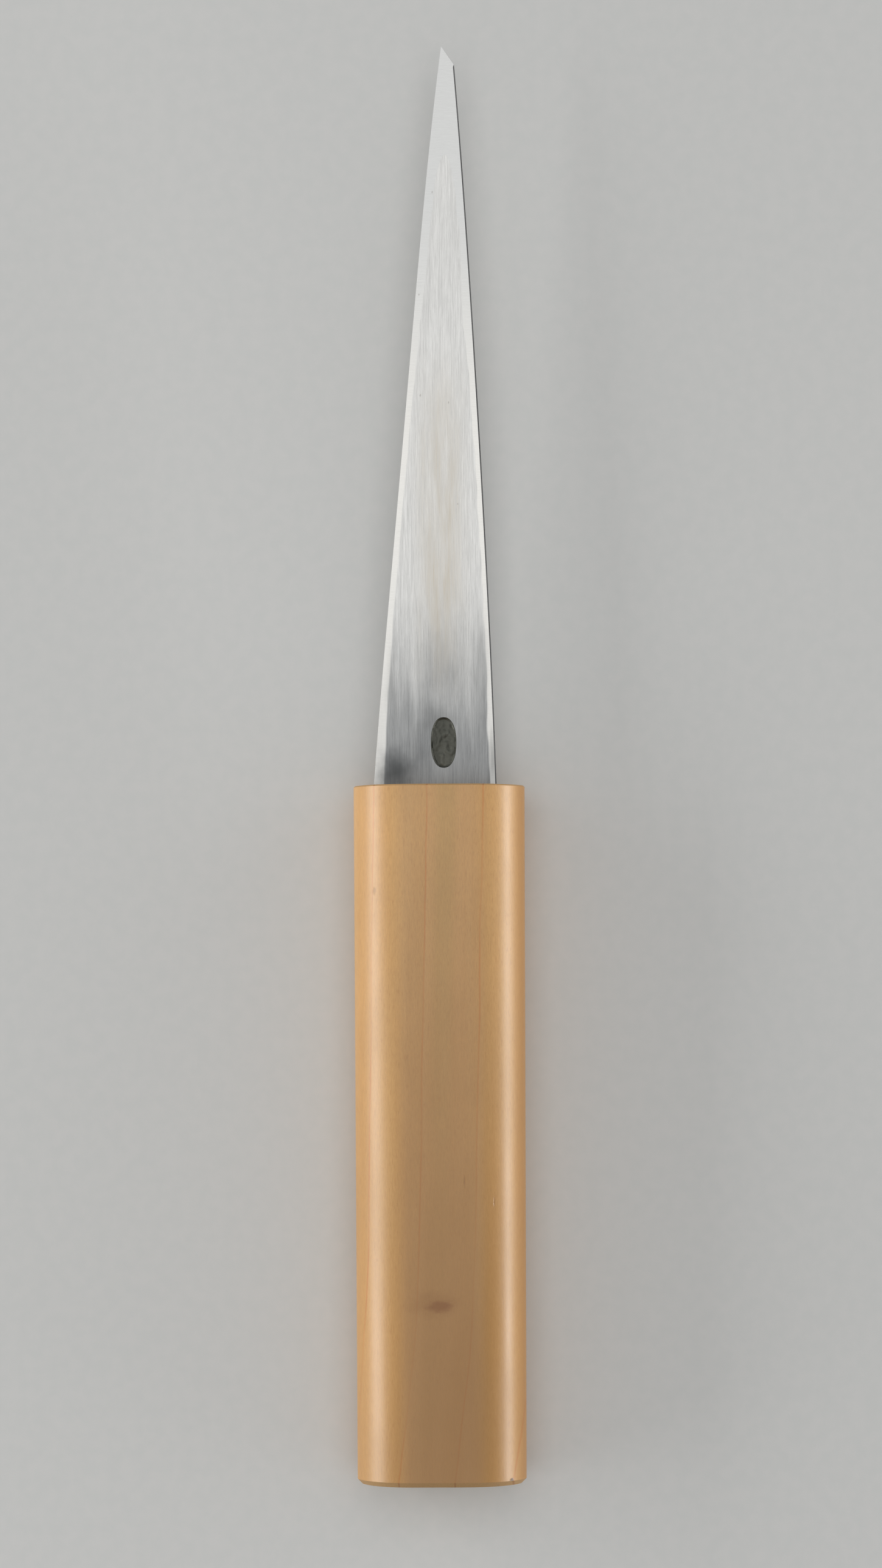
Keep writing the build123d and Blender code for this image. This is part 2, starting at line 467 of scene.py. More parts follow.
# %% Build the clouds
clouds, given, wanted = new_group("clouds", {"Size": (8.0, 30.0, 8.0), "Seed": 0.0}, ["Cloud"])
sized = vector_calc(clouds, "DIVIDE", given["Place"], given["Size"])
feed(wanted["Cloud"], soft_range(noise_at(clouds, sized, W=given["Seed"], Detail=4.0), 0.3, 0.7))


def clouds_on(place, size, seed):
    """Clouds on a finish, from 0 to 1."""
    return use_group(clouds, place, Size=size, Seed=seed)["Cloud"]


print("clouds:", len(clouds.nodes), "nodes")

# %% [markdown]
# ## Finish of the blade's back
#
# The flat rim is polished on a stone, with faint scratches across it. The hollow keeps the long streaks of the
# grinding wheel. The piece carries an attribute, "hollow", that is 1 in the hollow and 0 on the rim, so one material
# can be both.

# %% Grind and polish the back
def tone(base, amount, lines):
    """Lighten and darken a colour by lines around their middle value."""
    grey = (lines - 0.5) * (2 * amount) + 1.0
    return vector_calc(lines.tree, "SCALE", base if isinstance(base, Wire) else base[:3], grey)


def along_knife(place):
    """Sideways place, distance from the mouth of the handle, and height, in millimetres."""
    x, y, z = split(place)
    return x, y - mouth_y, z


ground_back, tree, shader, place = new_finish("ground back of the blade")
x, along, _ = along_knife(place)
hollow_share = Wire(add_node(tree, "ShaderNodeAttribute", attribute_name="hollow").outputs["Fac"])
streaks = lines_on(place, (8.0, 0.22, 1.0), 0.85, 2.8)
middle = lines_on(place, (3.4, 0.07, 1.0), 0.85, 2.6)["Lines"]
broad = lines_on(place, (0.6, 0.016, 1.0), 0.5, 2.0)["Lines"]
stone = lines_on(place, (0.45, 8.0, 1.0), 0.75, 2.0)

flat_base = blend_colours(soft_range(along, 125, 65), colour(202, 202, 200), colour(221, 219, 214))
flat_steel = tone(flat_base, 0.08, stone["Lines"])
ground_steel = tone(tone(colour(207, 206, 203), 0.18, streaks["Lines"]), 0.12, middle)
ground_steel = tone(ground_steel, 0.03, broad)
steel_colour = blend_colours(hollow_share, flat_steel, ground_steel)
print("flat rim and hollow:", len(tree.nodes), "nodes")

# %% [markdown]
# Age comes over that. A thin brown tint runs down the middle of the hollow, broken up by the streaks. Towards the
# handle the steel turns a soft grey, more in the hollow than on the rim: partly aged steel and partly painted shade,
# the darker reflection the steel shows near the handle. Stains gather by the edge, along the spine and round the
# punched oval, and a few tiny pits lie scattered. Each stain is a side, a distance from the mouth, half a width, half
# a length and a strength, and each pit a side, a distance and half a width.

# %% Age the back
brown_from, brown_to = soft_range(along, 14, 26), soft_range(along, 95, 62)
brown_side = soft_range(abs(x - 0.6), 0.4, 7.0, 1.0, 0.0)
broken = clouds_on(place, (1.6, 13.0, 7.0), 7.0)
brown_share = brown_to * brown_from * brown_side * (broken * (middle * 1.1) + 0.3)
steel_colour = blend_colours(brown_share * 0.78, steel_colour, colour(187, 179, 165))

# The soft grey towards the handle is partly age and partly painted shade, a darker reflection painted into the colour.
haze = clouds_on(place, (7.0, 16.0, 7.0), 2.0)
aged = soft_range(along - (haze + broad) * 9.0, 42, -6).calc("POWER", 1.35)
aged = aged * (hollow_share * 0.7 + 0.25)
grey_and_shaded_steel = tone(tone(colour(145, 146, 146), 0.26, streaks["Lines"]), 0.14, middle)
steel_colour = blend_colours(aged, steel_colour, grey_and_shaded_steel)

stain_colour = tone(colour(74, 76, 76), 0.12, middle)
stains = [(-9.0, 2.6, 6.2, 7.5, 0.85), (-0.8, 13.2, 5.5, 6.0, 0.42), (8.6, 24.0, 2.6, 20.0, 0.24),
          (11.0, 4.0, 1.6, 11.0, 0.5), (-9.8, 20.0, 1.6, 12.0, 0.22), (-3.5, 6.0, 3.5, 7.0, 0.3)]
through = 5.0
for side, distance, half_width, half_length, strength in stains:
    stain = patch_on(place, (side, distance, back_z), (half_width, half_length, through), 0.35, 1.0)
    steel_colour = blend_colours(stain * strength, steel_colour, stain_colour)

pits = [(-0.86, 122.7, 0.22), (-3.7, 101.4, 0.2), (-3.5, 80.5, 0.24), (2.3, 79.0, 0.2), (4.1, 58.0, 0.18)]
for side, distance, half_width in pits:
    pit = patch_on(place, (side, distance, back_z), (half_width, half_width * 1.6, through), 0.5, 0.7)
    steel_colour = blend_colours(pit * 0.4, steel_colour, colour(128, 122, 112))

feed(shader["Base Color"], steel_colour)
feed(shader["Metallic"], 1.0)
rim_rough = stone["Lines"] * 0.08 + 0.26
hollow_rough = streaks["Lines"] * 0.14 + (aged * 0.15 + 0.28)
feed(shader["Roughness"], blend_numbers(hollow_share, rim_rough, hollow_rough))
add_bump(tree, shader, 0.22, 0.00002, blend_numbers(hollow_share, stone["Height"], streaks["Height"]))
print("ground back:", len(tree.nodes), "nodes")

# %% [markdown]
# ## Finishes of the other steel faces
#
# The eased corner of the spine was never polished, so it keeps a dark skin from the forge; its dark colour is also a
# painted reflection of dark surroundings. On the bevel both metals are honed along its length: the hard steel comes
# up bright and the iron stays hazy. The rest of the iron is filed crosswise and has aged. The floor of the punched
# oval is darker than the steel around it.

# %% Make the other steel finishes
def plain_steel(name, base, rough, per_mm, contrast, shade, bump_height):
    """Steel with one direction of lines and uneven tone."""
    material, tree, shader, place = new_finish(name)
    lines = lines_on(place, per_mm, 0.7, contrast)
    toned = tone(base, 0.09, lines["Lines"])
    feed(shader["Base Color"], blend_colours(clouds_on(place, (5.0, 14.0, 5.0), 5.0) * 0.6, toned, shade))
    feed(shader["Metallic"], 1.0)
    feed(shader["Roughness"], lines["Lines"] * 0.15 + rough)
    add_bump(tree, shader, 0.35, bump_height * MM, lines["Height"])
    print(f"{name}: {len(tree.nodes)} nodes")
    return material


# The corner's dark colour is partly forge skin and partly a painted dark reflection.
forge_skin_and_dark_reflection = plain_steel("eased corner of the spine", colour(92, 92, 92), 0.45,
                          (3.0, 1.2, 3.0), 1.4, colour(60, 60, 61), 0.04)
honed_bevel = plain_steel("honed bevel steel", colour(222, 221, 218), 0.2,
                          (9.0, 0.05, 9.0), 1.2, colour(205, 204, 201), 0.01)
punched_floor = plain_steel("floor of the punched oval", colour(108, 108, 100), 0.45,
                            (1.6, 1.3, 1.6), 2.8, colour(56, 57, 52), 0.2)
soft_iron = plain_steel("soft iron, filed and aged", colour(158, 157, 153), 0.42,
                        (0.5, 5.0, 5.0), 1.5, colour(122, 122, 120), 0.03)
honed_iron = plain_steel("honed iron of the bevel", colour(192, 191, 187), 0.32,
                         (6.0, 0.06, 6.0), 1.6, colour(172, 171, 168), 0.015)

# %% [markdown]
# ## Hard steel layer
#
# Each cross-section of the steel runs from the edge over the rim, across the hollow, over the other rim and the
# eased corner of the spine, and back along the weld and the bevel. The columns follow the hollow's borders, so the
# border stays crisp. The sections lie closer together at the hollow's rounded end and at the point.

# %% Space the sections
def spaced(*stretches):
    """Distances along the blade: each stretch is (start, end, step)."""
    places = [np.arange(start, end - step / 3, step) for start, end, step in stretches]
    return np.append(np.concatenate(places), stretches[-1][1])


steel_end = steel_end_y - mouth_y
steel_places = spaced((steel_end, 0, 1.0), (0, 118, 0.8), (118, 132, 0.25), (132, clip_start, 0.8),
                      (clip_start, blade_length, 0.38))
rim_shares = (0, 0.02, 0.3, 0.65, 0.92)
hollow_shares = np.concatenate([[0, 0.015], np.linspace(0.04, 0.96, 30), [0.985, 1]])
least_half, eased_width, evened_over = 0.3, 3, 8
spine_ease, nose_ease = (0.28, 0.45), (0.03, 0.03)
under_points = 8


def steel_section(along):
    """One closed ring of the steel layer, with the depth of its hollow."""
    edge, spine, y = edge_side(along), spine_side(along), mouth_y + along
    left, right = hollow_borders(along)
    centre, half = (left + right) / 2, max((right - left) / 2, least_half)
    left, right = centre - half, centre + half
    thin = min(1, (spine - edge) / eased_width)
    ease_wide, ease_high = spine_ease if along < clip_start else nose_ease
    steel_high_there = back_z - max(bevel(spine, along), weld(along))
    ease_wide, ease_high = ease_wide * thin, ease_high * thin * min(1, steel_high_there)
    inner = spine - ease_wide
    top = [edge + (left - edge) * share for share in rim_shares]
    top += [left + (right - left) * share for share in hollow_shares]
    top += [inner + (right - inner) * share for share in reversed(rim_shares)]
    even = min(max((along - hollow_end) / evened_over, 0), 1)
    top = (1 - even) * np.array(top) + even * np.linspace(edge, inner, len(top))
    ring = [(x, y, back_z - hollow_drop(x, along)) for x in top] + [(spine, y, back_z - ease_high)]
    lower = min(weld_side(along), spine)
    under_shares = np.linspace(0, 1, under_points)
    under = [spine + (lower - spine) * share for share in under_shares]
    under += [lower + (edge - lower) * share for share in under_shares[1:]]
    return ring + [(x, y, max(weld(along), bevel(x, along))) for x in under]


top_columns = 2 * len(rim_shares) + len(hollow_shares)


def steel_finish(row, column):
    """Which finish a face of the steel takes: back, eased corner, weld side or bevel."""
    if column < top_columns - 1:
        return 0
    return 1 if column < top_columns + 1 else 2


steel_blank = skin("steel_blank", [steel_section(along) for along in steel_places],
                   (ground_back, forge_skin_and_dark_reflection, honed_bevel), steel_finish)
print("steel sections:", len(steel_places), "with", len(steel_section(50)), "points each")

# %% [markdown]
# ## The punched oval
#
# Many makers punch a mark into the hot steel. This knife bears none, so the oval is bare: a shallow floor with the
# uneven bottom that a struck and worn surface has. It is a separate plug, cut out of the steel with a Boolean, so
# the rim of the oval is as sharp as a real punch leaves it. The plug brings its own finish along for the floor.

# %% Punch the oval
punch_side, punch_along = 0.98, 8.85
punch_half_wide, punch_half_long, punch_deep = 2.62, 5.2, 0.42
punch_points, fullness = 64, 0.87
floor_edge, plug_above = 0.9, 0.4


def punch_ring(level, share):
    """One ring of the plug: an oval a little fuller than an ellipse, with a rough floor."""
    ring = []
    for count in range(punch_points):
        turn = -2 * math.pi * count / punch_points
        c, s = math.cos(turn), math.sin(turn)
        x = punch_side + punch_half_wide * share * math.copysign(abs(c) ** fullness, c)
        along = punch_along + punch_half_long * share * math.copysign(abs(s) ** fullness, s)
        bare = back_z - hollow_drop(x, along)
        lumps = 0.3 * noise.noise(Vector((x * 0.9, along * 0.8, 4.2)))
        specks = 0.08 * noise.noise(Vector((x * 2.1, along * 1.8, 6.1)))
        ring.append((x, mouth_y + along, bare + level + (lumps + specks if share < floor_edge else 0)))
    return ring


plug_levels = [(plug_above, 0.0), (plug_above, 0.5), (plug_above, 1.03),
               (0.0, 1.0), (-0.6 * punch_deep, 0.965), (-punch_deep, 0.91)]
plug_levels += [(-punch_deep, share) for share in np.linspace(0.86, 0.0, 14)]
plug_blank = skin("punch_plug", [punch_ring(level, share) for level, share in plug_levels], (punched_floor,))
plug = baked(plug_blank, "punch_plug", smooth_below=0)
punch = steel_blank.modifiers.new("punch", "BOOLEAN")
punch.object, punch.operation, punch.solver, punch.material_mode = plug, "DIFFERENCE", "EXACT", "TRANSFER"
steel_blank.modifiers.new("merge slivers", "WELD").merge_threshold = 3 * doubled
steel_layer = baked(steel_blank, "steel_layer")
bpy.data.objects.remove(plug)

# %% [markdown]
# Every point of the steel now learns whether it lies in the hollow. The share fades over a hair's breadth, so that
# the finish turns from ground to polished exactly at the border.

# %% Mark the hollow
border_fade = 0.12
hollow = steel_layer.data.attributes.new("hollow", "FLOAT", "POINT")
shares = []
for vertex in steel_layer.data.vertices:
    x, along = vertex.co.x / MM, vertex.co.y / MM - mouth_y
    left, right = hollow_borders(along)
    shares.append(min(max(min(x - left, right - x) / border_fade, 0), 1))
hollow.data.foreach_set("value", shares)
print("points in the hollow:", sum(share > 0 for share in shares))

# %% [markdown]
# ## Soft iron body
#
# The iron starts where the bevel meets the weld. Behind the steel layer it steps up to the full thickness of the
# blade, and past two rounded shoulders it runs on as the tang. The tang is hidden in the handle, but it is part of
# the forging, so it is part of the same skin.

# %% Write the iron and the tang down
heel_along = -6.0
tang_end = tang_end_y - mouth_y
tang_half, tang_end_half, tang_thickness = 7.5, 4.0, 2.8
tang_rounding, tang_end_thickness = 0.4, 2.2
shoulder = 2.5
iron_ease, iron_tip_width = 0.12, 0.15
hair = 0.02


def iron_section(along, top=None):
    """One closed ring of the iron: along the weld, down the spine, and back over the underside and the bevel."""
    spine, y, low_z = spine_side(along), mouth_y + along, underside(along)
    if top is None:
        top, left = weld(along), weld_side(along)
    else:
        left = edge_side(along)
    left, ridge = min(left, spine), min(bevel_side(along, low_z), spine)
    ease = iron_ease * min(1, (spine - left) / 2)
    ring = [(left + (spine - left) * share, y, top) for share in np.linspace(0, 1, 8)]
    low = max(low_z, bevel(spine, along))
    ring += [(spine, y, top + (low + ease - top) * share) for share in (0.5, 1)]
    ring += [(x, y, max(low_z, bevel(x, along))) for x in np.linspace(spine - ease, ridge, 8)]
    ring += [(x, y, min(max(low_z, bevel(x, along)), top)) for x in np.linspace(ridge, left, 9)[1:]]
    return ring


def tang_low(x, thickness, share):
    """Underside of the tang: flat at its end, and running out into the bevel towards the shoulders."""
    low = middle_z - thickness / 2
    return max(low, low + (bevel(x, heel_along) - low) * share)


def tang_section(along, half, thickness, share):
    """One closed ring of the tang, with as many points as a ring of the iron."""
    y, high = mouth_y + along, middle_z + thickness / 2
    ring = [(x, y, high) for x in np.linspace(-half, half, 8)]
    low = tang_low(half, thickness, share)
    ring += [(half, y, high + (low - high) * part) for part in (0.35, 0.7)]
    return ring + [(x, y, tang_low(x, thickness, share)) for x in np.linspace(half, -half, 16)]


print(f"tang {heel_along - tang_end:.0f} mm long")

# %% [markdown]
# Two rings never share a place, because that would leave faces without area. Where the form steps straight up, they
# lie a hair apart instead. The last ring shrinks to one point and closes the iron's tip.

# %% Build the iron body
iron_tip = next(along for along in np.arange(130, blade_length, 0.05)
                if weld_side(along) >= spine_side(along) - iron_tip_width)
iron_places = spaced((steel_end + hair, 0, 1.0), (0, 136, 1.0), (136, iron_tip, 0.4))
tang_ends = [tang_section(tang_end, tang_end_half - tang_rounding, tang_end_thickness, 0),
             tang_section(tang_end + tang_rounding, tang_end_half, tang_thickness, 0)]
shoulder_turns = np.linspace(0, math.pi / 2, 7)
shoulders = [tang_section(heel_along - shoulder + shoulder * math.sin(turn),
                          tang_half + shoulder * (1 - math.cos(turn)), heel_thickness - hair, 1)
             for turn in shoulder_turns]
behind_steel = [iron_section(along, iron_high[2]) for along in (heel_along + hair, steel_end)]
before_heel = len(tang_ends + shoulders)
first_bevel_column = 17


def iron_finish(row, column):
    """The bevel is honed, and the rest of the iron is left as filed."""
    return 1 if row >= before_heel and column >= first_bevel_column else 0


in_front = [iron_section(along) for along in iron_places]
closing_ring = [tuple(np.mean(in_front[-1], axis=0))] * len(in_front[-1])
iron_blank = skin("iron_blank", tang_ends + shoulders + behind_steel + in_front + [closing_ring],
                  (soft_iron, honed_iron), iron_finish)
iron_piece = baked(iron_blank, "iron_and_tang")
print(f"iron reaches {iron_tip:.1f} mm along the blade")

# %% [markdown]
# ## White-wood finish
#
# The handle is a straight-grained, pale wood, split lengthwise from the log. Its year rings pass through as thin
# reddish lines, a finger's width apart, that drift sideways towards the butt. Between them the wood is tan with olive
# and pink bands, and short fine fibres. Its broad faces are painted darker towards the butt, as painted shade. The
# rings are worked out in the solid, as distances from the tree's heart, so they join up over the sides and on the end
# grain, and run through both halves.

# %% Grow the year rings
wood, tree, shader, place = new_finish("handled white wood")
x, along, z = along_knife(place)
from_heart, heart_z, first_ring, ring_width = 60.0, 5.0, 59.4, 11.1
bent = (-90.0 - along).calc("MAXIMUM", 0.0).calc("POWER", 2.0) * -0.00138
wander = lines_on(place, (0.05, 0.035, 0.05), 0.5, 1.0)["Lines"]
drifted = x - (along * 0.02 + bent) + (wander - 0.5) * 1.2
heart = add_node(tree, "ShaderNodeCombineXYZ", {0: drifted + from_heart, 1: z - heart_z}).outputs[0]
phase = (vector_calc(tree, "LENGTH", heart) - first_ring) / ring_width
ring_line = soft_range(phase.calc("PINGPONG", 0.5), 0.0, 0.025, 1.0, 0.0)
late_wood = soft_range(phase.calc("FRACT"), 0.55, 1.0) * 0.3
print("year rings:", len(tree.nodes), "nodes")

# %% Colour the wood
fibres = lines_on(place, (7.5, 0.9, 7.5), 0.7, 1.7)
bands = lines_on(place, (0.28, 0.008, 0.28), 0.5, 2.0)["Lines"]
flecks = lines_on(place, (4.5, 0.7, 4.5), 0.5, 1.3)["Lines"]
short_fibres = lines_on(place, (2.6, 0.3, 2.6), 0.75, 1.6)["Lines"]
handled = clouds_on(place, (16.0, 26.0, 16.0), 1.0)
fading = clouds_on(place, (9.0, 30.0, 9.0), 6.0)

wood_colour = blend_colours(bands, colour(205, 161, 105), colour(196, 149, 93))
wood_colour = blend_colours(late_wood, wood_colour, colour(191, 142, 80))
wood_colour = blend_colours(ring_line * (fading * 0.4 + 0.12), wood_colour, colour(190, 100, 34))
olive = soft_range(abs(drifted - 1.4), 0.6, 3.4, 1.0, 0.0) * soft_range(along, -105, -20, 0.15, 0.5)
wood_colour = blend_colours(olive, wood_colour, colour(177, 141, 82))
wood_colour = tone(tone(wood_colour, 0.1, fibres["Lines"]), 0.08, short_fibres)
wood_colour = blend_colours(soft_range(flecks, 0.5, 0.85, 0.0, 0.3), wood_colour, colour(168, 114, 66))
wood_colour = tone(wood_colour, 0.05, handled)
# Painted shade: the broad faces grow darker towards the butt, where less light falls on them.
broad_face = soft_range(abs(x - 2.0), 4.0, 16.0, 1.0, 0.3)
painted_shade_to_butt = soft_range(along, 10, -130, 0.05, 0.75) * broad_face
wood_colour = blend_colours(painted_shade_to_butt, wood_colour, colour(141, 96, 34))
# Painted shade: the outer right side of the handle is painted darker, as if turned away from the light.
painted_shade_outer_side = soft_range(x, 14.2, 17.5, 0.0, 0.6)
wood_colour = blend_colours(painted_shade_outer_side, wood_colour, colour(138, 90, 30))
print("wood colour:", len(tree.nodes), "nodes")

# %% [markdown]
# Marks of use come last: a brown smudge near the butt, a few dents and nicks, and paler, rougher end grain. Each mark
# is a place, half a size, a strength and a colour, and the small ones are pressed in as well. The end grain shows only
# where a face looks along the fibres, which the surface normal tells.

# %% Mark the wood
marks = [((-0.3, -105.7, 20.0), (3.7, 1.6, 3.0), 0.75, (126, 72, 6)),
         ((-1.5, -105.2, 20.0), (7.0, 3.6, 3.0), 0.3, (134, 86, 22)),
         ((-13.2, -21.6, 17.0), (0.5, 1.2, 1.5), 0.35, (120, 84, 52)),
         ((4.8, -80.5, 20.0), (0.25, 1.6, 1.5), 0.4, (132, 92, 56)),
         ((10.8, -84.8, 19.0), (0.25, 1.2, 1.5), 0.35, (132, 92, 56)),
         ((14.2, -140.9, 16.5), (0.7, 0.5, 1.2), 0.85, (60, 40, 26)),
         ((11.5, -142.0, 18.0), (1.3, 0.35, 1.0), 0.7, (84, 56, 34)),
         ((15.6, -60.0, 8.0), (1.2, 12.0, 2.5), 0.25, (134, 92, 46)),
         ((-15.0, -95.0, 6.0), (1.6, 18.0, 3.0), 0.2, (134, 92, 46))]
largest_dent = 2
dents = []
for centre, half_size, strength, shade in marks:
    mark = patch_on(place, centre, half_size, 0.4, 0.7)
    wood_colour = blend_colours(mark * strength, wood_colour, colour(*shade))
    if max(half_size[:2]) < largest_dent:
        dents.append(mark)
dented = dents[0]
for dent in dents[1:]:
    dented = dented.calc("MAXIMUM", dent)
print("marks:", len(marks), "of which pressed in:", len(dents))

# %% Finish the wood
normal_y = split(Wire(tree.nodes["Texture Coordinate"].outputs["Normal"]))[1]
end_grain = soft_range(abs(normal_y), 0.5, 0.8)
pores = lines_on(place, (5.0, 0.5, 5.0), 0.7, 2.2)["Lines"]
end_colour = tone(blend_colours(ring_line, colour(164, 130, 84), colour(136, 92, 54)), 0.14, pores)
feed(shader["Base Color"], blend_colours(end_grain * 0.85, wood_colour, end_colour))
feed(shader["Specular IOR Level"], 0.68)
feed(shader["Roughness"], fibres["Lines"] * 0.14 + handled * -0.06 + 0.32 + end_grain * 0.25)
add_bump(tree, shader, 0.35, 0.00006, fibres["Height"] * 0.5 + dented * -2.0)
print("wood:", len(tree.nodes), "nodes")

# %% [markdown]
# ## The carved slot
#
# Each half of the handle is carved to fit the blade's heel and the tang, with a hair of room all round. The space is
# one more skin over rings, the blade's own form grown by that room. It is handed to the handle's node tree, which
# cuts it out. It runs a little past the mouth, so that the cut is open there.

# %% Build the space for the blade
slot_room, past_mouth = 0.05, 1.5


def slot_ring(along, left, right, ridge, high, low, low_left):
    """One closed ring of the slot: five corners, each moved out by the slot's room."""
    y, room = mouth_y + along, slot_room
    return [(left - room, y, high + room), (right + room, y, high + room), (right + room, y, low - room),
            (ridge, y, low - room), (left - room, y, low_left - room)]


def tang_slot(along, half, thickness, share):
    """A ring of the slot round the tang."""
    return slot_ring(along, -half, half, bevel_side(heel_along, underside(heel_along)),
                     middle_z + thickness / 2, middle_z - thickness / 2, tang_low(-half, thickness, share))


def heel_slot(along):
    """A ring of the slot round the blade's heel."""
    low = underside(along)
    return slot_ring(along, edge_side(along), spine_side(along), bevel_side(along, low), back_z, low,
                     back_z - edge_land)


slot_rings = [tang_slot(tang_end - slot_room, tang_end_half, tang_thickness, 0)]
slot_rings += [tang_slot(heel_along - slot_room - shoulder + shoulder * math.sin(turn),
                         tang_half + shoulder * (1 - math.cos(turn)), heel_thickness, 1)
               for turn in shoulder_turns]
slot_rings += [heel_slot(heel_along - slot_room + hair), heel_slot(past_mouth)]
slot_form = baked(skin("slot_form", slot_rings), "slot_form", smooth_below=0)

# %% [markdown]
# ## Half a handle as a rule
#
# The handle's cross-section is a flattened oval: a flat, two broad cheeks of one radius and two tight sides of
# another. It tapers slightly and its ends are chamfered, so the whole half follows a rule, and Geometry Nodes can
# make it from a plain grid. One direction of the grid runs round the section and back across the seam, and the other
# runs along the handle. The tree works out where each grid point goes, cuts out the slot, and marks sharp edges. The
# same tree makes both halves: the second one is the first, turned half a turn about the knife's length.

# %% Name the tree's inputs
half_tree = bpy.data.node_groups.new("half of a handle", "GeometryNodeTree")
half_tree.interface.new_socket("Geometry", in_out="INPUT", socket_type="NodeSocketGeometry")
handle_sizes = {
    "Butt Place": butt_y * MM, "Mouth Place": mouth_y * MM, "Width": (front_high[0] - front_low[0]) * MM,
    "Taper": 0.0007, "Half Thickness": (front_high[2] - middle_z) * MM, "Side Radius": 0.005,
    "Cheek Rise": 0.0021, "Butt Chamfer": 0.001, "Mouth Chamfer": 0.0003,
    "Seam Gap": (front_low[2] - middle_z) * MM, "Middle Height": middle_z * MM, "Hand Marks": 0.00006,
    "Turn Over": 1.0, "Seed": 0.0}
for label in handle_sizes:
    half_tree.interface.new_socket(label, in_out="INPUT", socket_type="NodeSocketFloat")
half_tree.interface.new_socket("Finish", in_out="INPUT", socket_type="NodeSocketMaterial")
half_tree.interface.new_socket("Geometry", in_out="OUTPUT", socket_type="NodeSocketGeometry")
size_of = {out.name: Wire(out) for out in half_tree.nodes.new("NodeGroupInput").outputs}
butt_place, mouth_place = size_of["Butt Place"], size_of["Mouth Place"]
side_radius, cheek_rise = size_of["Side Radius"], size_of["Cheek Rise"]
half_thickness, turn_over = size_of["Half Thickness"], size_of["Turn Over"]
print("sizes:", len(handle_sizes))

# %% [markdown]
# The grid starts one unit wide, so its own coordinates are shares: round the section, and along the handle. The first
# and last rows shrink to a point and close the ends. The second and last-but-one rows are pulled in by the chamfers.

# %% Lay out the grid
rows, columns = 121, 113
grid = add_node(half_tree, "GeometryNodeMeshGrid",
                {"Size X": 1.0, "Size Y": 1.0, "Vertices X": columns, "Vertices Y": rows})
grid_x, grid_y, _ = split(Wire(half_tree.nodes.new("GeometryNodeInputPosition").outputs[0]))
around = grid_x + 0.5
row = (grid_y + 0.5) * (rows - 1.0)

at_butt, at_mouth = row < 1.5, row > rows - 2.5
closed = (row < 0.5) + (row > rows - 1.5)
drawn_in = at_butt * size_of["Butt Chamfer"] + at_mouth * size_of["Mouth Chamfer"]

body_share = clamped((row - 2.0) / (rows - 5.0))
body_start = butt_place + size_of["Butt Chamfer"]
body_end = mouth_place - size_of["Mouth Chamfer"]
body_y = body_start + body_share * (body_end - body_start)
lower_y = body_y + at_butt * (butt_place - body_y)
place_y = lower_y + at_mouth * (mouth_place - lower_y)
from_mouth = (mouth_place - place_y) / (mouth_place - butt_place)
half_width = (size_of["Width"] - size_of["Taper"] * from_mouth) * 0.5
print("grid:", rows, "by", columns, "points")

# %% [markdown]
# Round the section, a point's direction turns from one side, over the flat, to the other. The direction picks the
# arc: near the side it belongs to the tight side arc, and above that to the broad cheek, whose centre lies below the
# middle plane. The arcs meet where both centres line up, so they join without a corner.

# %% Work out the section
arc_part, flat_part = 0.86, 0.3
over = clamped(around / arc_part)
seam = clamped((around - arc_part) / (1 - arc_part))
sideways = over * 2.0 - 1.0
outward = abs(sideways)
turn = clamped((1.0 - outward) / (1 - flat_part)) * (math.pi / 2)

cheek_radius = half_thickness + cheek_rise
between = cheek_radius - side_radius
side_centre = half_width - side_radius
flat = side_centre - (between * between - cheek_rise * cheek_rise).calc("SQRT")
on_side = turn < (cheek_rise / between).calc("ARCSINE")


def either(side_value, cheek_value):
    """The side arc's value near the side, and else the cheek's."""
    return cheek_value + on_side * (side_value - cheek_value)


arc_radius = either(side_radius, cheek_radius) - drawn_in
arc_x = either(side_centre, flat * clamped(outward / flat_part)) + arc_radius * turn.calc("COSINE")
arc_z = either(0.0, cheek_rise * -1.0) + arc_radius * turn.calc("SINE")

end_height, almost_nothing = 0.4, 0.000004
open_share = 1.0 - closed
across = sideways.calc("SIGN") * arc_x * (1.0 - seam * 2.0) * open_share * turn_over
above = (arc_z * open_share).calc("MAXIMUM", size_of["Seam Gap"]) + closed * (half_thickness * end_height)
place_z = size_of["Middle Height"] + above * turn_over
target = add_node(half_tree, "ShaderNodeCombineXYZ", {0: across, 1: place_y, 2: place_z}).outputs[0]
shaped = add_node(half_tree, "GeometryNodeSetPosition", {"Geometry": grid.outputs["Mesh"], "Position": target})
sealed = add_node(half_tree, "GeometryNodeMergeByDistance",
                  {"Geometry": shaped.outputs[0], "Distance": almost_nothing})
print("section:", len(half_tree.nodes), "nodes so far")

# %% [markdown]
# A spokeshave leaves long, shallow facets that the hand feels more than the eye sees. Noise pulls the outside in by a
# few hundredths of a millimetre, never out, and leaves the seam flat. Then the slot is cut, and edges sharper than 25
# degrees are marked sharp, so that the chamfers stay crisp.

# %% Carve the half
here = Wire(half_tree.nodes.new("GeometryNodeInputPosition").outputs[0])
facets_per_metre = (160.0, 22.0, 160.0)
facets = noise_at(half_tree, vector_calc(half_tree, "MULTIPLY", here, facets_per_metre),
                  W=size_of["Seed"], Detail=2.0)
from_seam = abs(split(here)[2] - size_of["Middle Height"])
depth = facets * clamped((from_seam - 0.0003) / 0.002) * size_of["Hand Marks"] * -1.0
normal = half_tree.nodes.new("GeometryNodeInputNormal").outputs[0]
inward = vector_calc(half_tree, "SCALE", normal, depth)
carved = add_node(half_tree, "GeometryNodeSetPosition", {"Geometry": sealed.outputs[0], "Offset": inward})

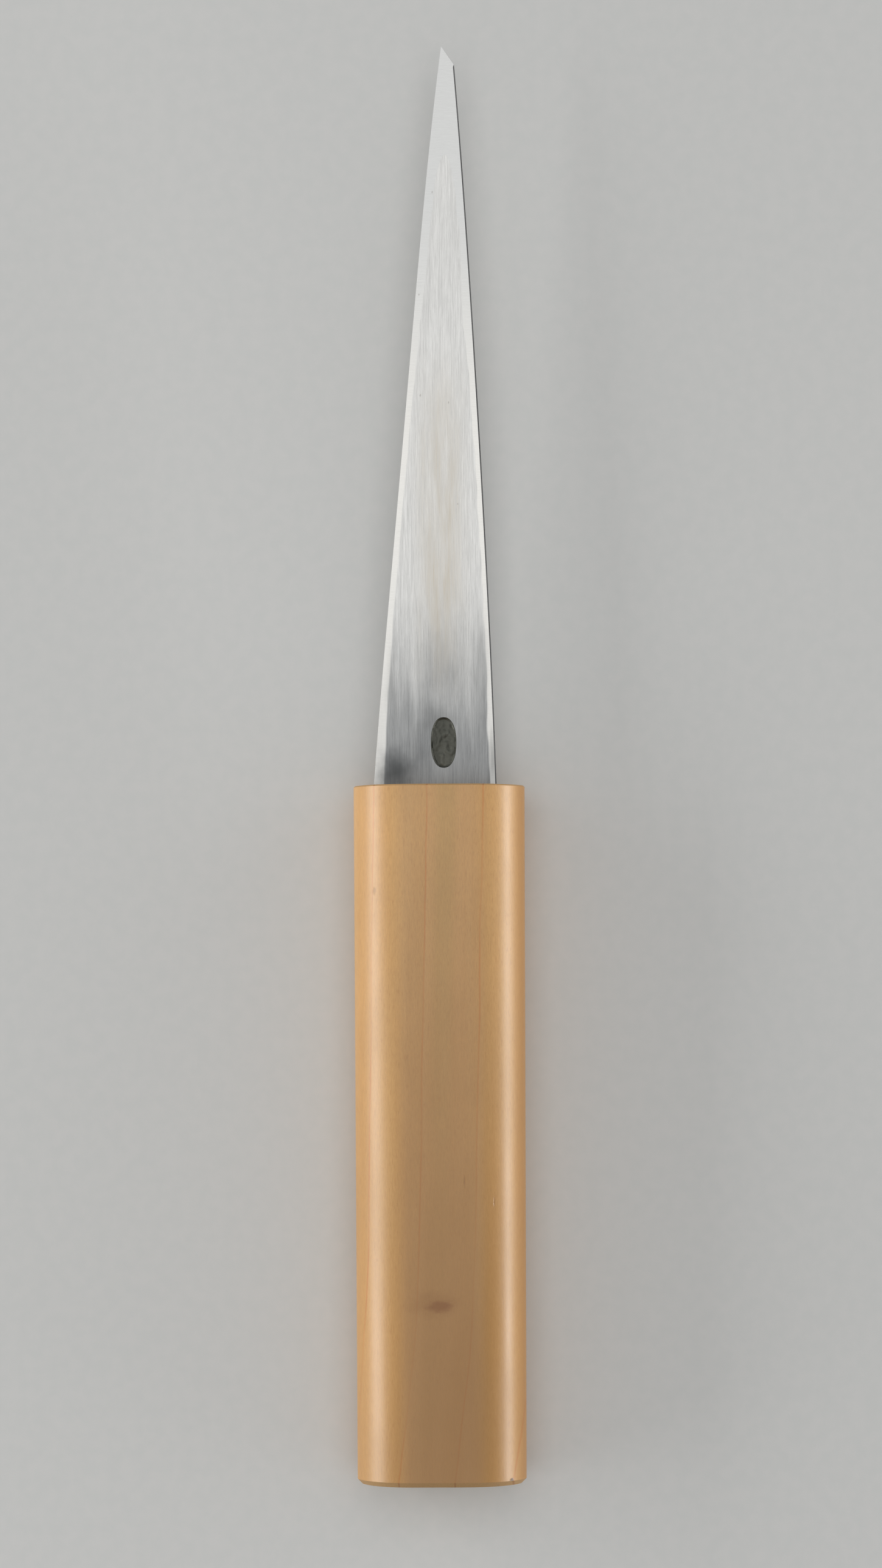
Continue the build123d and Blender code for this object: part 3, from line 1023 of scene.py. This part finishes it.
slotted = add_node(half_tree, "GeometryNodeMeshBoolean",
                   {"Mesh 1": carved.outputs[0], "Mesh 2": size_of["Geometry"]},
                   operation="DIFFERENCE", solver="FLOAT")
edge_angle = half_tree.nodes.new("GeometryNodeInputMeshEdgeAngle").outputs["Unsigned Angle"]
sharp = add_node(half_tree, "FunctionNodeCompare", {0: edge_angle, 1: math.radians(25)}, operation="GREATER_THAN")
smooth = add_node(half_tree, "GeometryNodeSetShadeSmooth",
                  {"Geometry": slotted.outputs[0], "Shade Smooth": True}, domain="FACE")
crisp = add_node(half_tree, "GeometryNodeSetShadeSmooth",
                 {"Geometry": smooth.outputs[0], "Selection": sharp.outputs[0], "Shade Smooth": False},
                 domain="EDGE")
realized = add_node(half_tree, "GeometryNodeRealizeInstances", {"Geometry": crisp.outputs[0]})
finished = add_node(half_tree, "GeometryNodeSetMaterial",
                    {"Geometry": realized.outputs[0], "Material": size_of["Finish"]})
feed(half_tree.nodes.new("NodeGroupOutput").inputs["Geometry"], finished.outputs[0])
print("half of a handle:", len(half_tree.nodes), "nodes")

# %% [markdown]
# ## Both halves
#
# A modifier hands the tree its sizes by each socket's identifier. The evaluated result is then copied into a plain
# mesh, and the modifier goes with the object that carried it.

# %% Make the two halves
def handle_half(name, turned, seed):
    """One half of the handle as a plain mesh, carved for the blade."""
    carrier = new_object(name + "_carrier", slot_form.data.copy())
    modifier = carrier.modifiers.new("half", "NODES")
    modifier.node_group = half_tree
    values = handle_sizes | {"Turn Over": turned, "Seed": seed, "Finish": wood}
    for item in half_tree.interface.items_tree:
        if item.in_out == "INPUT" and item.name in values:
            modifier[item.identifier] = values[item.name]
    return baked(carrier, name, smooth_below=0)


front_half = handle_half("handle_front", 1.0, 3.0)
rear_half = handle_half("handle_rear", -1.0, 8.0)
bpy.data.objects.remove(slot_form)

# %% [markdown]
# ## Glue line
#
# The two halves are glued with rice paste, which dries to a thin brownish film. The solid model's own film has the
# right shape, so it stays and only takes a finish, one that mottles the film with the clouds of the other pieces.

# %% Finish the glue
glue, tree, shader, place = new_finish("dried rice paste")
mottle = clouds_on(place, (1.5, 4.0, 1.5), 9.0)
feed(shader["Base Color"], blend_colours(mottle, colour(112, 78, 48), colour(150, 112, 74)))
feed(shader["Roughness"], mottle * 0.2 + 0.45)
glue_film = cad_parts["glue_line"]
if not glue_film.data.materials:
    glue_film.data.materials.append(glue)
for slot in glue_film.material_slots:
    slot.material = glue
print("glue line:", glue_film.name)

# %% [markdown]
# ## Tie the pieces to the frame
#
# The knife has no joints, so every piece rides on its one body. Each piece hides the solid that it stands for.

# %% Ride and replace
for piece, node, finish_slot in ((steel_layer, "edge_steel", "hard_steel"), (iron_piece, "iron_body", "soft_iron"),
                                 (front_half, "handle_front_half", "handle_wood"),
                                 (rear_half, "handle_back_half", "handle_wood")):
    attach(piece, "root")
    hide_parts(node)
    print(piece.name, "stands for", node)

# %% [markdown]
# ## Floor and light
#
# A wide pale sheet carries the knife. The world is a soft white tent, so the steel has something bright to mirror. A
# big soft box hangs over the knife, a long low one stands on the left, and a narrow strip on the right draws the thin
# bright line along the handle.

# %% Lay the floor
floor_mesh = bpy.data.meshes.new("floor")
reach = 6.0
floor_corners = [(-reach, -reach, 0), (reach, -reach, 0), (reach, reach, 0), (-reach, reach, 0)]
floor_mesh.from_pydata(floor_corners, [], [(0, 1, 2, 3)])
floor = new_object("floor", floor_mesh)
paper, tree, shader, place = new_finish("pale floor")
fleck = clouds_on(place, (3.0, 3.0, 3.0), 4.0)
feed(shader["Base Color"], blend_colours(fleck, colour(206, 206, 203), colour(209, 208, 205)))
feed(shader["Roughness"], 0.85)
floor_mesh.materials.append(paper)
print("floor:", 2 * reach, "m wide")

# %% Hang the lights
world = bpy.data.worlds.new("studio")
world.use_nodes = True
tent = world.node_tree.nodes["Background"].inputs
feed(tent["Color"], (0.96, 0.98, 1.0, 1))
feed(tent["Strength"], 0.34)
bpy.context.scene.world = world


def soft_box(name, place, target, size, power):
    """A rectangular light that faces a target. Sizes in metres, power in watts."""
    lamp = bpy.data.lights.new(name, "AREA")
    lamp.shape, lamp.size, lamp.size_y, lamp.energy = "RECTANGLE", size[0], size[1], power
    holder = new_object(name, lamp)
    holder.location = place
    holder.rotation_euler = (Vector(target) - Vector(place)).to_track_quat("-Z", "Y").to_euler()


soft_box("overhead", (0.0, 0.05, 1.5), (0, 0, 0), (1.6, 2.0), 8.3)
soft_box("left", (-0.75, 0.0, 0.17), (0, 0, 0.01), (1.0, 0.32), 5.3)
soft_box("right", (0.8, 0.0, 0.09), (0, 0, 0.01), (1.2, 0.055), 5.6)

# %% [markdown]
# ## Camera
#
# The camera looks almost straight down from 0.9 metres, leaning 3 degrees towards the butt. It is turned by a quarter
# of a degree, so the knife stands a touch off the upright, as it does when it is laid down by hand.

# %% Place the camera
lens = bpy.data.cameras.new("camera")
lens.sensor_fit, lens.sensor_height, lens.lens = "VERTICAL", 36.0, 99.64
camera = new_object("camera", lens)
looks_from, looks_at = Vector((0.40, -52.84, 900.0)) * MM, Vector((0.40, -5.09, 10.0)) * MM
lean = math.radians(0.262)
forward = (looks_at - looks_from).normalized()
right = forward.cross(Vector((math.sin(lean), math.cos(lean), 0))).normalized()
up = right.cross(forward)
camera.matrix_world = Matrix.Translation(looks_from) @ Matrix((right, up, -forward)).transposed().to_4x4()
bpy.context.scene.camera = camera
bpy.context.scene.view_settings.view_transform = "Standard"
print("camera at", tuple(round(c, 3) for c in camera.location))
